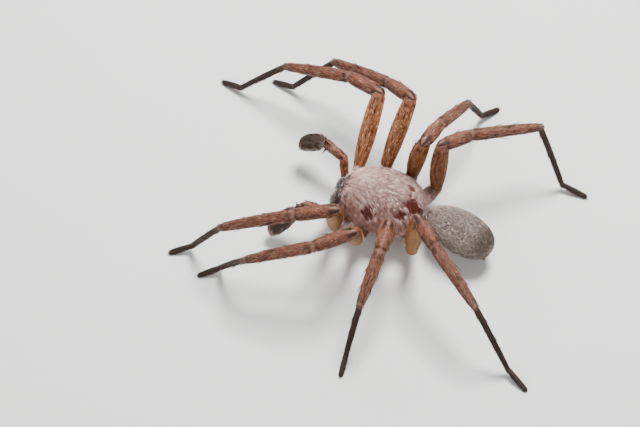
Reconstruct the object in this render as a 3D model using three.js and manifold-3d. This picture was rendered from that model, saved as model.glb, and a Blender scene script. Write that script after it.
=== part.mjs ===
// Huntsman spider, adult male, standing. Millimetres, +Z up, head toward -Y, the spider's left
// toward +X. The origin is on the floor, under the middle of the outline.

import * as THREE from 'three';
import { mergeVertices } from 'three/addons/utils/BufferGeometryUtils.js';
import Module from 'manifold-3d';

const wasm = await Module();
wasm.setup();

// Gap between nodes that touch, and the place of the outline's middle from the middle of the body
const GAP = 0.3;
const OUTLINE_MIDDLE = [0.79, -0.84];

// Carapace and what lies under it
const CARAPACE_LENGTH = 8.05;
const CARAPACE_HALF_WIDTH = 3.45;
const CARAPACE_DOME = 3.0;
const CARAPACE_SHIFT = -0.28;
const CARAPACE_EDGE_Z = 3.05;
const STERNUM_Z = 1.3;
const STERNUM_HALF_WIDTH = 2.5;
const STERNUM_LENGTH = 7.4;
const LEG_ROOT_Z = 2.3;
const COXA_RADII = [0.7, 0.72, 0.62];
const COXA_INNER = [0.4, 0.75, -0.15];
const MAXILLA_START = [1.2, -3.3, 1.8];
const MAXILLA_RADII = [0.5, 0.46, 0.4];

// Face
const CHELICERA_TOP = [0.9, -3.9, 3.3];
const CHELICERA_BOTTOM = [0.88, -4.55, 1.75];
const CHELICERA_RADII = [0.72, 0.74, 0.5];
const FANG_TOP = [0.9, -4.6, 0.82];
const FANG_TIP = [0.5, -4.35, 0.2];
const FANG_RADIUS = 0.28;

// Eyes, one row for each left eye: x, y and radius
const EYES = [
  { name: 'anterior_median', x: 0.42, y: -4.05, radius: 0.3 },
  { name: 'anterior_lateral', x: 1.25, y: -3.9, radius: 0.34 },
  { name: 'posterior_median', x: 0.5, y: -3.5, radius: 0.26 },
  { name: 'posterior_lateral', x: 1.5, y: -3.3, radius: 0.28 },
];

// Abdomen
const ABDOMEN_LENGTH = 7.1;
const ABDOMEN_HALF_WIDTH = 2.25;
const ABDOMEN_TOP = 1.85;
const ABDOMEN_BOTTOM = 1.8;
const ABDOMEN_FRONT = [-0.2, 4.2, 3.3];
const ABDOMEN_TURN = 13;
const ABDOMEN_DROOP = 8;
const PEDICEL_START = [-0.1, 4.3, 2.55];
const PEDICEL_RADII = [0.4, 0.4, 0.5];
const SPINNERET_PLACE = [0, 6.1, -1.95];
const SPINNERET_RADII = [0.22, 0.2, 0.13];
const SPINNERET_SPACING = 0.16;

// Legs: radii of each segment at its near end, middle and far end
const FEMUR_RADII = [0.6, 0.9, 0.7];
const PATELLA_RADII = [0.68, 0.76, 0.66];
const TIBIA_RADII = [0.66, 0.64, 0.48];
const METATARSUS_RADII = [0.38, 0.36, 0.32];
const TARSUS_RADII = [0.31, 0.34, 0.3];
const FOOT_START_Z = 0.8;
const FOOT_TIP_Z = 0.22;
const LEG_SIDES = 10;

// One row for each pair of legs. root is the outer end of the left coxa and lengths run from femur
// to tarsus. A pose gives yaw and pitch in degrees, or yaw alone for metatarsus and tarsus, which
// slope down to the floor. Yaw is from straight sideways, positive toward the head.
const LEG_PAIRS = [
  {
    root: [3.5, -3.7],
    lengths: [7.8, 3.8, 7.3, 6.1, 2.1],
    left: { femur: [-18, 67], patella: [70, -11], tibia: [75, -22], metatarsus: 98, tarsus: 62 },
    right: { femur: [-5, 52], patella: [67, -14], tibia: [82, -20], metatarsus: 101, tarsus: 77 },
  },
  {
    root: [4.35, -1.3],
    lengths: [7.8, 3.7, 6.7, 6.3, 2.1],
    left: { femur: [-12, 61], patella: [55, -11], tibia: [72, -21], metatarsus: 119, tarsus: 58 },
    right: { femur: [-16, 58], patella: [55, -23], tibia: [72, -16], metatarsus: 100, tarsus: 79 },
  },
  {
    root: [4.35, 1.4],
    lengths: [6.0, 2.9, 5.1, 5.7, 2.0],
    left: { femur: [-31, 76], patella: [-3, -4], tibia: [3, -22], metatarsus: 13, tarsus: -4 },
    right: { femur: [-92, 80], patella: [-12, -11], tibia: [-18, -21], metatarsus: -16, tarsus: -35 },
  },
  {
    root: [3.7, 4.0],
    lengths: [6.4, 3.0, 6.8, 7.3, 2.4],
    left: { femur: [-41, 82], patella: [-51, -14], tibia: [-51, -11], metatarsus: -65, tarsus: -60 },
    right: { femur: [-20, 84], patella: [-43, -8], tibia: [-58, -7], metatarsus: -110, tarsus: -95 },
  },
];

// Palps: joints from the root to the tip of the cymbium, with x outward on both sides
const PALP_JOINTS = {
  left: [[2.2, -4.8, 1.8], [3.0, -5.4, 3.6], [3.3, -6.4, 4.2], [3.7, -7.3, 3.4], [5.3, -9.4, 1.1]],
  right: [[2.4, -4.7, 1.8], [3.1, -5.05, 3.9], [3.4, -6.15, 4.3], [4.05, -7.1, 4.05], [4.1, -9.6, 2.7]],
};
const PALP_RADII = [
  [0.36, 0.46, 0.44],
  [0.44, 0.5, 0.46],
  [0.46, 0.52, 0.5],
];
const CYMBIUM_HALF_WIDTH = 1.05;
const CYMBIUM_HEIGHT = 1.1;
const BULB_HEIGHT = 0.8;
const BULB_SHARE = 0.75;
const APOPHYSIS_LENGTH = 1.1;
const APOPHYSIS_AT = 0.7;

// Spines: rows by fraction of the length and by angle round the segment from its upper side
const SPINE_RADIUS = 0.27;
const SPINE_LENGTH = 2.2;
const SPINE_LEAN = 24;
const SPINE_SIDES = 4;
const SPINE_SEED = 7;
const SPINE_CLEARANCE = 0.6;
const FEMUR_SPINES = { fractions: [0.3, 0.5, 0.68], angles: [-72, 72], length: 0.85 };
const TIBIA_SPINES = { fractions: [0.12, 0.4, 0.66], angles: [-120, 120], length: 1 };
const METATARSUS_SPINES = { fractions: [0.15, 0.45], angles: [-115, 115], length: 0.9 };

const UP = new THREE.Vector3(0, 0, 1);
const DOWN = new THREE.Vector3(0, 0, -1);
const SIDES = [{ word: 'left', side: 1 }, { word: 'right', side: -1 }];
const spider = new THREE.Group();
spider.position.set(-OUTLINE_MIDDLE[0], -OUTLINE_MIDDLE[1], 0);

const coat = (colour, roughness) => new THREE.MeshStandardMaterial({
  color: colour,
  roughness,
  metalness: 0,
});
const carapaceCoat = coat('#b59a96', 0.85);
const abdomenCoat = coat('#8f8378', 0.9);
const legCoat = coat('#8c5646', 0.7);
const footCoat = coat('#4a2a22', 0.8);
const undersideCoat = coat('#9a6238', 0.6);
const faceShell = coat('#2c1010', 0.35);
const palpShell = coat('#3a2620', 0.6);
const eyeShell = coat('#0b0908', 0.08);

function vector(values) {
  return new THREE.Vector3(values[0], values[1], values[2]);
}

function mirrored(values, side) {
  return new THREE.Vector3(values[0] * side, values[1], values[2]);
}

// A repeatable stream of numbers from 0 to 1
function seededStream(seed) {
  let state = seed;
  return () => {
    state = (state * 16807) % 2147483647;
    return state / 2147483647;
  };
}

// The value at 0, 0.5 and 1 joined by one parabola
function between(values, fraction) {
  const [near, middle, far] = values;
  const bulge = 4 * (middle - (near + far) / 2);
  return near + (far - near) * fraction + bulge * fraction * (1 - fraction);
}

function solidFrom(geometry) {
  geometry.deleteAttribute('normal');
  geometry.deleteAttribute('uv');
  const merged = mergeVertices(geometry, 0.00001);
  const index = merged.getIndex().array;
  const corners = [];
  for (let i = 0; i < index.length; i += 3) {
    const [a, b, c] = [index[i], index[i + 1], index[i + 2]];
    if (a !== b && b !== c && c !== a) corners.push(a, b, c);
  }
  return new wasm.Manifold(new wasm.Mesh({
    numProp: 3,
    vertProperties: new Float32Array(merged.getAttribute('position').array),
    triVerts: new Uint32Array(corners),
  }));
}

function joined(solids) {
  return solids.reduce((whole, solid) => whole.add(solid));
}

// Keeps what lies in front of a plane, no nearer to it than half the gap
function trimmed(solid, point, direction, clearance = GAP / 2) {
  const normal = direction.clone().normalize();
  return solid.trimByPlane(normal.toArray(), point.dot(normal) + clearance);
}

function largestPiece(solid) {
  const pieces = solid.decompose();
  pieces.sort((a, b) => b.volume() - a.volume());
  return pieces[0];
}

// A frame at a point, with its Y axis along a segment and its Z axis on the segment's upper side
function frameAlong(start, end) {
  const along = end.clone().sub(start).normalize();
  const side = along.clone().cross(UP).normalize();
  const upper = side.clone().cross(along);
  return new THREE.Matrix4().makeBasis(side, along, upper).setPosition(start);
}

// A round segment between two joints, with a round end past each of them
function segment(start, end, radii, sides = LEG_SIDES) {
  const length = start.distanceTo(end);
  const [near, , far] = radii;
  const slope = Math.SQRT1_2;
  const profile = [
    [0, -near],
    [near * slope, -near * slope],
    [near, 0],
    [between(radii, 0.3), length * 0.3],
    [between(radii, 0.65), length * 0.65],
    [far, length],
    [far * slope, length + far * slope],
    [0, length + far],
  ];
  const outline = profile.map(([radius, height]) => new THREE.Vector2(radius, height));
  const geometry = new THREE.LatheGeometry(outline, sides);
  geometry.applyMatrix4(frameAlong(start, end));
  return solidFrom(geometry);
}

// A closed body along Y from -length / 2 to length / 2. section gives its half width, top and
// bottom for an angle that runs from 0 at the head end to PI at the tail end.
function longBody(length, around, along, section) {
  const geometry = new THREE.SphereGeometry(1, around, along);
  const position = geometry.getAttribute('position');
  for (let i = 0; i < position.count; i += 1) {
    const cosine = THREE.MathUtils.clamp(-position.getY(i), -1, 1);
    const angle = Math.acos(cosine);
    const ring = Math.max(Math.sin(angle), 0.000001);
    const size = section(angle);
    const across = position.getX(i) / ring;
    const upward = position.getZ(i) / ring;
    const height = upward > 0 ? size.top : size.bottom;
    position.setXYZ(i, across * size.width, -cosine * length / 2, upward * height);
  }
  return geometry;
}

// Every segment of the legs but one as a line and its widest radius
function segmentsBeside(ownPair, ownSide) {
  const widths = [FEMUR_RADII, PATELLA_RADII, TIBIA_RADII, METATARSUS_RADII, TARSUS_RADII];
  return SIDES.flatMap(({ side }) => LEG_PAIRS.flatMap((pair) => {
    if (pair === ownPair && side === ownSide) return [];
    const joints = legJoints(pair, side);
    return widths.map((radii, i) => ({
      line: new THREE.Line3(joints[i], joints[i + 1]),
      radius: Math.max(...radii),
    }));
  }));
}

function isClear(point, beside) {
  const nearest = new THREE.Vector3();
  return beside.every(({ line, radius }) => {
    line.closestPointToPoint(point, true, nearest);
    return nearest.distanceTo(point) > radius + SPINE_CLEARANCE;
  });
}

// One tapered spine on a round segment, leaning toward the segment's far end
function spine(frame, along, angle, surface, length, lean) {
  const geometry = new THREE.ConeGeometry(SPINE_RADIUS, length, SPINE_SIDES);
  const sunk = surface - SPINE_RADIUS * 1.4;
  geometry.translate(0, length / 2, 0);
  geometry.rotateX(THREE.MathUtils.degToRad(lean));
  geometry.translate(0, along, sunk);
  geometry.rotateY(THREE.MathUtils.degToRad(angle));
  geometry.applyMatrix4(frame);
  return solidFrom(geometry);
}

// A segment with its rows of spines, but for those whose tip comes near another leg
function spinySegment(start, end, radii, pattern, draw, beside) {
  const frame = frameAlong(start, end);
  const length = start.distanceTo(end);
  const rows = [segment(start, end, radii)];
  pattern.fractions.forEach((fraction) => {
    pattern.angles.forEach((angle) => {
      const at = fraction + 0.05 * (draw() - 0.5);
      const long = SPINE_LENGTH * pattern.length * (0.85 + 0.3 * draw());
      const turned = angle + 16 * (draw() - 0.5);
      const lean = SPINE_LEAN + 8 * (draw() - 0.5);
      const surface = between(radii, at);
      const turn = THREE.MathUtils.degToRad(turned);
      const rise = THREE.MathUtils.degToRad(lean);
      const out = surface + long * Math.sin(rise);
      const along = at * length + long * Math.cos(rise);
      const tip = new THREE.Vector3(out * Math.sin(turn), along, out * Math.cos(turn));
      if (!isClear(tip.applyMatrix4(frame), beside)) return;
      rows.push(spine(frame, at * length, turned, surface, long, lean));
    });
  });
  return joined(rows);
}

// Adds one named mesh, with its own origin and axes given by a frame
function addPart(parent, name, solid, frame, material) {
  const mesh = largestPiece(solid).getMesh();
  const geometry = new THREE.BufferGeometry();
  geometry.setAttribute('position', new THREE.BufferAttribute(mesh.vertProperties, 3));
  geometry.setIndex(new THREE.BufferAttribute(mesh.triVerts, 1));
  geometry.applyMatrix4(frame.clone().invert());
  geometry.computeVertexNormals();
  const part = new THREE.Mesh(geometry, material);
  part.name = name;
  frame.decompose(part.position, part.quaternion, part.scale);
  parent.add(part);
}

function direction(yaw, pitch, side) {
  const turn = THREE.MathUtils.degToRad(yaw);
  const rise = THREE.MathUtils.degToRad(pitch);
  return new THREE.Vector3(
    side * Math.cos(turn) * Math.cos(rise),
    -Math.sin(turn) * Math.cos(rise),
    Math.sin(rise),
  );
}

// The pitch that brings a segment of a given length from one height down to another
function pitchDown(fromZ, toZ, length) {
  return -THREE.MathUtils.radToDeg(Math.asin((fromZ - toZ) / length));
}

function legJoints(pair, side) {
  const pose = side > 0 ? pair.left : pair.right;
  const [femur, patella, tibia, metatarsus, tarsus] = pair.lengths;
  const joints = [new THREE.Vector3(side * pair.root[0], pair.root[1], LEG_ROOT_Z)];
  const step = (yaw, pitch, length) => {
    const last = joints[joints.length - 1];
    joints.push(last.clone().addScaledVector(direction(yaw, pitch, side), length));
  };
  step(...pose.femur, femur);
  step(...pose.patella, patella);
  step(...pose.tibia, tibia);
  step(pose.metatarsus, pitchDown(joints[3].z, FOOT_START_Z, metatarsus), metatarsus);
  step(pose.tarsus, pitchDown(FOOT_START_Z, FOOT_TIP_Z, tarsus), tarsus);
  return joints;
}

function coxaStart(pair, side) {
  const [x, y] = pair.root;
  const [inward, level, drop] = COXA_INNER;
  return new THREE.Vector3(side * x * inward, y * level, LEG_ROOT_Z + drop);
}

function palpJoints(side) {
  const joints = side > 0 ? PALP_JOINTS.left : PALP_JOINTS.right;
  return joints.map((joint) => mirrored(joint, side));
}

// The plane between two segments that meet at a joint, as the direction from one to the other
function mitre(before, joint, after) {
  const inward = joint.clone().sub(before).normalize();
  const outward = after.clone().sub(joint).normalize();
  return inward.add(outward).normalize();
}

// Half width and height of the carapace for an angle that runs from the face to the hind edge
function carapaceSection(angle) {
  const taper = Math.cos(angle);
  const blunt = Math.sin(angle) ** 0.72;
  const width = CARAPACE_HALF_WIDTH * blunt * (1 - 0.07 * taper - 0.08 * taper ** 2);
  const top = CARAPACE_DOME * Math.sin(angle) ** 0.62 * (1 + 0.1 * taper - 0.08 * taper ** 2);
  return { width, top, bottom: top };
}

// The point of the carapace straight above a place on its plan
function carapacePoint(x, y) {
  const cosine = THREE.MathUtils.clamp((CARAPACE_SHIFT - y) * 2 / CARAPACE_LENGTH, -1, 1);
  const { width, top } = carapaceSection(Math.acos(cosine));
  const height = top * Math.sqrt(Math.max(0, 1 - (x / width) ** 2));
  return new THREE.Vector3(x, y, CARAPACE_EDGE_Z + height);
}

function carapaceNormal(x, y) {
  const step = 0.02;
  const sideways = carapacePoint(x + step, y).sub(carapacePoint(x - step, y));
  const lengthways = carapacePoint(x, y + step).sub(carapacePoint(x, y - step));
  return sideways.cross(lengthways).normalize();
}

function buildCarapace() {
  const centre = new THREE.Vector3(0, CARAPACE_SHIFT, CARAPACE_EDGE_Z);
  const frame = new THREE.Matrix4().setPosition(centre);
  const geometry = longBody(CARAPACE_LENGTH, 24, 18, carapaceSection);
  geometry.applyMatrix4(frame);
  addPart(spider, 'carapace', trimmed(solidFrom(geometry), centre, UP), frame, carapaceCoat);
}

function buildEyes() {
  EYES.forEach(({ name, x, y, radius }) => {
    SIDES.forEach(({ word, side }) => {
      const base = carapacePoint(side * x, y);
      const outward = carapaceNormal(side * x, y);
      const centre = base.clone().addScaledVector(outward, GAP + radius * 0.3);
      const frame = frameAlong(centre, centre.clone().add(outward));
      const geometry = new THREE.SphereGeometry(radius, 12, 8);
      geometry.applyMatrix4(frame);
      const eye = trimmed(solidFrom(geometry), base, outward, GAP);
      addPart(spider, `eye_${name}_${word}`, eye, frame, eyeShell);
    });
  });
}

function cheliceraSegment(side, extra) {
  const radii = CHELICERA_RADII.map((radius) => radius + extra);
  return segment(mirrored(CHELICERA_TOP, side), mirrored(CHELICERA_BOTTOM, side), radii, 12);
}

function buildFace() {
  const roof = new THREE.Vector3(0, 0, CARAPACE_EDGE_Z);
  SIDES.forEach(({ word, side }) => {
    const top = mirrored(CHELICERA_TOP, side);
    const bottom = mirrored(CHELICERA_BOTTOM, side);
    const block = trimmed(cheliceraSegment(side, 0), roof, DOWN);
    addPart(spider, `chelicera_${word}`, block, frameAlong(top, bottom), faceShell);

    const fangTop = mirrored(FANG_TOP, side);
    const fangTip = mirrored(FANG_TIP, side);
    const frame = frameAlong(fangTop, fangTip);
    const length = fangTop.distanceTo(fangTip);
    const geometry = new THREE.ConeGeometry(FANG_RADIUS, length, 10);
    geometry.translate(0, length / 2, 0);
    geometry.applyMatrix4(frame);
    addPart(spider, `fang_${word}`, solidFrom(geometry), frame, faceShell);
  });
}

function buildUnderside() {
  const body = longBody(STERNUM_LENGTH, 16, 10, (angle) => ({
    width: STERNUM_HALF_WIDTH * Math.sin(angle) ** 0.7,
    top: Math.sin(angle) ** 0.5,
    bottom: (LEG_ROOT_Z - STERNUM_Z) * Math.sin(angle) ** 0.6,
  }));
  body.translate(0, 0, LEG_ROOT_Z);
  const pieces = [solidFrom(body)];
  SIDES.forEach(({ side }) => {
    LEG_PAIRS.forEach((pair) => {
      const [root, knee] = legJoints(pair, side);
      const inner = coxaStart(pair, side);
      const coxa = segment(inner, root, COXA_RADII, 8);
      pieces.push(trimmed(coxa, root, mitre(inner, root, knee).negate()));
    });
    const [root, knee] = palpJoints(side);
    const inner = mirrored(MAXILLA_START, side);
    const maxilla = segment(inner, root, MAXILLA_RADII, 8);
    pieces.push(trimmed(maxilla, root, mitre(inner, root, knee).negate()));
  });
  const roof = new THREE.Vector3(0, 0, CARAPACE_EDGE_Z);
  let underside = trimmed(joined(pieces), roof, DOWN);
  SIDES.forEach(({ side }) => {
    underside = underside.subtract(cheliceraSegment(side, GAP));
  });
  const frame = new THREE.Matrix4().setPosition(0, 0, LEG_ROOT_Z);
  addPart(spider, 'prosoma_underside', underside, frame, undersideCoat);
}

function buildPalp(word, side) {
  const palp = new THREE.Group();
  spider.add(palp);
  const joints = palpJoints(side);
  const [root, knee, middle, wrist, tip] = joints;
  const limbs = PALP_RADII.map((radii, i) => segment(joints[i], joints[i + 1], radii, 8));
  const tibia = frameAlong(middle, wrist);
  limbs.push(spine(tibia, APOPHYSIS_AT, side * 60, PALP_RADII[2][2], APOPHYSIS_LENGTH, 50));
  let limb = trimmed(joined(limbs), root, mitre(mirrored(MAXILLA_START, side), root, knee));
  limb = trimmed(limb, wrist, mitre(middle, wrist, tip).negate());
  addPart(palp, `palp_${word}_limb`, limb, frameAlong(root, knee), palpShell);

  const frame = frameAlong(wrist, tip);
  const upper = new THREE.Vector3().setFromMatrixColumn(frame, 2);
  const length = wrist.distanceTo(tip);
  const cup = longBody(length, 20, 12, (angle) => ({
    width: CYMBIUM_HALF_WIDTH * Math.sin(angle) ** 0.75,
    top: CYMBIUM_HEIGHT * Math.sin(angle) ** 0.75,
    bottom: CYMBIUM_HEIGHT * Math.sin(angle),
  }));
  cup.translate(0, length / 2, 0);
  cup.applyMatrix4(frame);
  const cymbium = trimmed(trimmed(solidFrom(cup), wrist, upper), wrist, mitre(middle, wrist, tip));
  addPart(palp, `palp_${word}_cymbium`, cymbium, frame, palpShell);

  const drop = longBody(length * BULB_SHARE, 16, 10, (angle) => ({
    width: CYMBIUM_HALF_WIDTH * 0.75 * Math.sin(angle),
    top: BULB_HEIGHT * Math.sin(angle),
    bottom: BULB_HEIGHT * Math.sin(angle),
  }));
  drop.translate(0, length * 0.5, 0);
  drop.applyMatrix4(frame);
  const bulb = trimmed(solidFrom(drop), wrist, upper.clone().negate());
  addPart(palp, `palp_${word}_bulb`, bulb, frame, faceShell);
}

function buildAbdomen() {
  const frame = new THREE.Matrix4().makeRotationZ(-THREE.MathUtils.degToRad(ABDOMEN_TURN));
  frame.multiply(new THREE.Matrix4().makeRotationX(-THREE.MathUtils.degToRad(ABDOMEN_DROOP)));
  frame.setPosition(vector(ABDOMEN_FRONT));
  const body = longBody(ABDOMEN_LENGTH, 22, 16, (angle) => {
    const full = Math.sin(angle) ** 0.88 * (1 - 0.1 * Math.cos(angle));
    return {
      width: ABDOMEN_HALF_WIDTH * full,
      top: ABDOMEN_TOP * full,
      bottom: ABDOMEN_BOTTOM * full,
    };
  });
  body.translate(0, ABDOMEN_LENGTH / 2, 0);
  body.applyMatrix4(frame);
  const stalkEnd = new THREE.Vector3(0, 1.2, 0).applyMatrix4(frame);
  const stalk = segment(vector(PEDICEL_START), stalkEnd, PEDICEL_RADII);
  addPart(spider, 'abdomen', solidFrom(body).add(stalk), frame, abdomenCoat);

  const cluster = [-1, 1].flatMap((across) => [0, 1].map((row) => {
    const start = new THREE.Vector3(across * SPINNERET_SPACING, row * 0.3, row * 0.1);
    const end = start.clone().add(new THREE.Vector3(across * 0.05, 0.28, -0.25));
    start.add(vector(SPINNERET_PLACE)).applyMatrix4(frame);
    end.add(vector(SPINNERET_PLACE)).applyMatrix4(frame);
    return segment(start, end, SPINNERET_RADII, 6);
  }));
  const place = frame.clone().setPosition(vector(SPINNERET_PLACE).applyMatrix4(frame));
  addPart(spider, 'spinnerets', joined(cluster), place, abdomenCoat);
}

function buildLeg(pair, number, word, side, draw) {
  const leg = new THREE.Group();
  spider.add(leg);
  const joints = legJoints(pair, side);
  const [root, knee, middle, ankle, foot, tip] = joints;
  const rootPlane = mitre(coxaStart(pair, side), root, knee);
  const kneePlane = mitre(root, knee, middle);
  const anklePlane = mitre(middle, ankle, foot);
  const footPlane = mitre(ankle, foot, tip);
  const name = (part) => `leg_${word}_${number}_${part}`;
  const beside = segmentsBeside(pair, side);

  let femur = spinySegment(root, knee, FEMUR_RADII, FEMUR_SPINES, draw, beside);
  femur = trimmed(trimmed(femur, root, rootPlane), knee, kneePlane.clone().negate());
  addPart(leg, name('femur'), femur, frameAlong(root, knee), legCoat);

  const shin = spinySegment(middle, ankle, TIBIA_RADII, TIBIA_SPINES, draw, beside);
  let tibia = segment(knee, middle, PATELLA_RADII).add(shin);
  tibia = trimmed(trimmed(tibia, knee, kneePlane), ankle, anklePlane.clone().negate());
  addPart(leg, name('patella_tibia'), tibia, frameAlong(knee, middle), legCoat);

  let metatarsus = spinySegment(ankle, foot, METATARSUS_RADII, METATARSUS_SPINES, draw, beside);
  metatarsus = trimmed(trimmed(metatarsus, ankle, anklePlane), foot, footPlane.clone().negate());
  addPart(leg, name('metatarsus'), metatarsus, frameAlong(ankle, foot), footCoat);

  let tarsus = segment(foot, tip, TARSUS_RADII);
  tarsus = trimmed(trimmed(tarsus, foot, footPlane), new THREE.Vector3(), UP, 0);
  addPart(leg, name('tarsus'), tarsus, frameAlong(foot, tip), footCoat);
}

buildCarapace();
buildEyes();
buildFace();
buildUnderside();
buildAbdomen();
const draw = seededStream(SPINE_SEED);
SIDES.forEach(({ word, side }) => {
  buildPalp(word, side);
  LEG_PAIRS.forEach((pair, i) => buildLeg(pair, i + 1, word, side, draw));
});

export default spider;
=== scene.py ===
# %% [markdown]
# # A huntsman spider, life size
# This lesson dresses a plain solid model of a male huntsman spider. The solids already stand in
# the right pose at the right size. What is added here is the look: skin, fur, spines, eyes, light.
# The solid model comes in first, and nothing here moves or resizes it.

# %% The solid model
import math
import bpy
import numpy as np
from mathutils import Matrix, Vector


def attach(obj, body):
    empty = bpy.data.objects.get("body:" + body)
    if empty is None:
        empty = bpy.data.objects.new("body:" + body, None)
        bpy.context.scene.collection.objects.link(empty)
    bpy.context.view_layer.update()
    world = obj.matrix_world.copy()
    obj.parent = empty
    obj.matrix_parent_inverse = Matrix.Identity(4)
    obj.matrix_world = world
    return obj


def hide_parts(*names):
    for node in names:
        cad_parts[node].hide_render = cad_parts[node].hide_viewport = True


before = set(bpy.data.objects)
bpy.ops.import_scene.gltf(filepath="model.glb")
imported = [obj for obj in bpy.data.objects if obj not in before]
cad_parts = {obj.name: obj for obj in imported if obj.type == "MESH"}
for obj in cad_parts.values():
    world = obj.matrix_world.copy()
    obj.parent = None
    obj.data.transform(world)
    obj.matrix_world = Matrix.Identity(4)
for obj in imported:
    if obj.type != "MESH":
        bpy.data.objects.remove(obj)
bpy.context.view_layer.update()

print("solid nodes:", len(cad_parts))

# %% [markdown]
# ## Sizes
# All shapes below are worked out in millimetres round the middle of the spider's body: head toward
# -Y, the spider's left toward +X, the floor at z = 0. The model's origin is under the middle of
# its outline instead, so one shift and one factor bring every point into the model's metres.
# The leg poses are angles read from the photograph, the same as in the solid model.

# %% Sizes of the body, in millimetres
MM = 0.001
OUTLINE_MIDDLE = np.array([0.79, -0.84, 0.0])
COAT_DEPTH = 0.1

CARAPACE = {"length": 8.05, "half_width": 3.45, "dome": 3.0, "shift": -0.28, "edge_z": 3.05}
ABDOMEN = {"length": 7.1, "half_width": 2.25, "top": 1.85, "bottom": 1.8}
ABDOMEN_FRONT = np.array([-0.2, 4.2, 3.3])
ABDOMEN_TURN = math.radians(13)
ABDOMEN_DROOP = math.radians(8)
LEG_ROOT_Z = 2.3
STERNUM_Z = 1.3
FOOT_START_Z = 0.8
FOOT_TIP_Z = 0.22
print("carapace and abdomen:", CARAPACE["length"], ABDOMEN["length"], "mm")

# %% Sizes and poses of the legs
SEGMENTS = ("femur", "patella", "tibia", "metatarsus", "tarsus")
RADII = {
    "coxa": (0.66, 0.7, 0.6),
    "femur": (0.6, 0.9, 0.7),
    "patella": (0.68, 0.76, 0.66),
    "tibia": (0.66, 0.64, 0.48),
    "metatarsus": (0.38, 0.36, 0.32),
    "tarsus": (0.31, 0.34, 0.3),
}
LEG_ROOTS = {1: (3.5, -3.7), 2: (4.35, -1.3), 3: (4.35, 1.4), 4: (3.7, 4.0)}
LEG_LENGTHS = {
    1: (7.8, 3.8, 7.3, 6.1, 2.1),
    2: (7.8, 3.7, 6.7, 6.3, 2.1),
    3: (6.0, 2.9, 5.1, 5.7, 2.0),
    4: (6.4, 3.0, 6.8, 7.3, 2.4),
}
# Yaw and pitch of femur, patella and tibia, then yaw of metatarsus and tarsus, in degrees
LEG_POSES = {
    ("left", 1): ((-18, 67), (70, -11), (75, -22), 98, 62),
    ("left", 2): ((-12, 61), (55, -11), (72, -21), 119, 58),
    ("left", 3): ((-31, 76), (-3, -4), (3, -22), 13, -4),
    ("left", 4): ((-41, 82), (-51, -14), (-51, -11), -65, -60),
    ("right", 1): ((-5, 52), (67, -14), (82, -20), 101, 77),
    ("right", 2): ((-16, 58), (55, -23), (72, -16), 100, 79),
    ("right", 3): ((-92, 80), (-12, -11), (-18, -21), -16, -35),
    ("right", 4): ((-20, 84), (-43, -8), (-58, -7), -110, -95),
}
SIDES = {"left": 1, "right": -1}
print("legs:", len(LEG_POSES))

# %% [markdown]
# ## Shader maths as expressions
# A finish mixes numbers that vary over a surface. Each such number is a socket of a node. Wrapping
# it in a small class lets `1 - mask * 2` build the Math nodes, which reads better than wiring them
# by hand. Colours go through Mix nodes, because a Math node would turn a colour grey.

# %% Wires
class Wire:
    """A socket's output. Each operator + - or *, from either side, adds one Math node."""

    def __init__(self, tree, socket):
        self.tree = tree
        self.socket = socket

    def math(self, operation, first, second=0.0, clamp=False):
        node = self.tree.nodes.new("ShaderNodeMath")
        node.operation = operation
        node.use_clamp = clamp
        for place, value in zip(node.inputs, (first, second)):
            connect(self.tree, value, place)
        return Wire(self.tree, node.outputs[0])

    def __add__(self, other):
        return self.math("ADD", self, other)

    def __sub__(self, other):
        return self.math("SUBTRACT", self, other)

    def __rsub__(self, other):
        return self.math("SUBTRACT", other, self)

    def __mul__(self, other):
        return self.math("MULTIPLY", self, other)

    __radd__ = __add__
    __rmul__ = __mul__

    def clamped(self):
        """The same value, kept between 0 and 1."""
        return self.math("ADD", self, 0.0, clamp=True)


def connect(tree, value, place):
    """Links a wire to an input, or writes a plain value into it."""
    if isinstance(value, Wire):
        tree.links.new(value.socket, place)
    elif hasattr(place.default_value, "__len__") and len(place.default_value) == 4:
        place.default_value = (*value[:3], 1.0)
    else:
        place.default_value = value


print("operators of a wire: + - *")

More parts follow.
